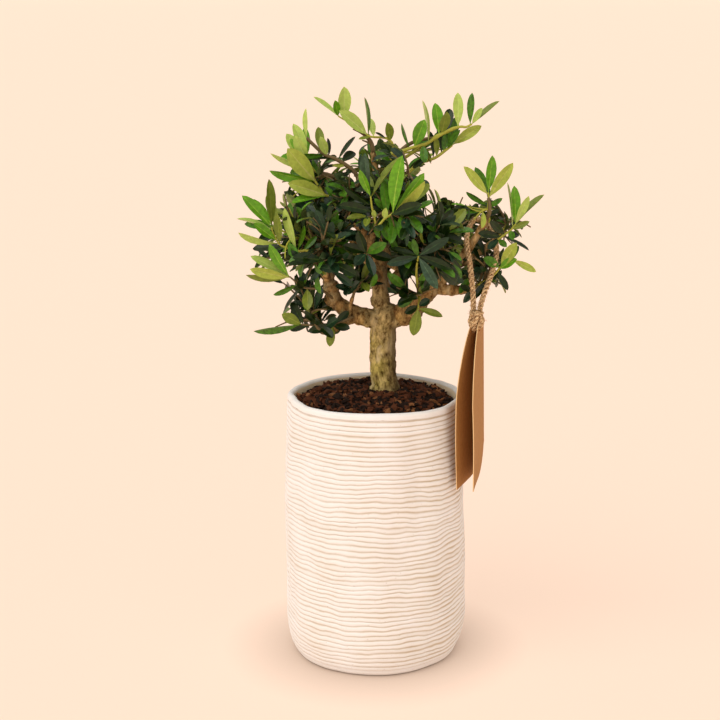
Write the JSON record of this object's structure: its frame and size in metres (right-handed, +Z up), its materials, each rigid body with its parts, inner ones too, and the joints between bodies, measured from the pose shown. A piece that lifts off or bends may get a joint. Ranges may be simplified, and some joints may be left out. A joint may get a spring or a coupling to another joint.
{
  "type": "potted olive bonsai",
  "caption": "Small olive tree with a short bare trunk, spreading boughs and leafy crown in a ribbed stoneware pot, a folded card tag hung on twine.",
  "frame": {"origin": "middle of the pot's flat underside", "axes": "+Z up along the pot's axis, -Y towards the front of the plant, +X to the side where the tag hangs"},
  "size_m": [0.2092, 0.1681, 0.4041],
  "materials": {
    "stoneware": "off-white unglazed stoneware, coiled ribs",
    "compost": "moist shredded bark compost",
    "bark": "knobbly olive-brown bark",
    "leaf": "leathery olive leaves, dark old and bright young",
    "kraft": "brown kraft card",
    "jute": "fuzzy plied jute twine"
  },
  "bodies": {
    "root": {"back_left_bough": "bark", "back_low_bough": "bark", "back_right_bough": "bark", "back_top_bough": "bark", "compost": "compost", "dead_stub": "bark", "foliage_back_left": "leaf", "foliage_back_low": "leaf", "foliage_back_right": "leaf", "foliage_back_top": "leaf", "foliage_centre_front": "leaf", "foliage_front_left": "leaf", "foliage_front_right": "leaf", "foliage_left": "leaf", "foliage_left_upper": "leaf", "foliage_low_centre": "leaf", "foliage_low_front": "leaf", "foliage_low_left": "leaf", "foliage_right_low": "leaf", "foliage_right_outer": "leaf", "foliage_right_upper": "leaf", "foliage_top_front": "leaf", "foliage_top_left": "leaf", "foliage_top_right": "leaf", "foliage_upper_front": "leaf", "front_bough": "bark", "front_left_bough": "bark", "leader": "bark", "left_bough": "bark", "left_bough_lower": "bark", "left_bough_upper": "bark", "low_bough": "bark", "low_front_bough": "bark", "pot": "stoneware", "right_bough": "bark", "right_bough_inner": "bark", "right_bough_side": "bark", "right_bough_upper": "bark", "right_outer_bough": "bark", "tag_left": "kraft", "tag_right": "kraft", "top_bough": "bark", "top_front_bough": "bark", "top_left_bough": "bark", "trunk": "bark", "twine_hitch": "jute", "twine_loop": "jute", "upper_front_bough": "bark", "upper_left_bough": "bark"}
  },
  "joints": []
}
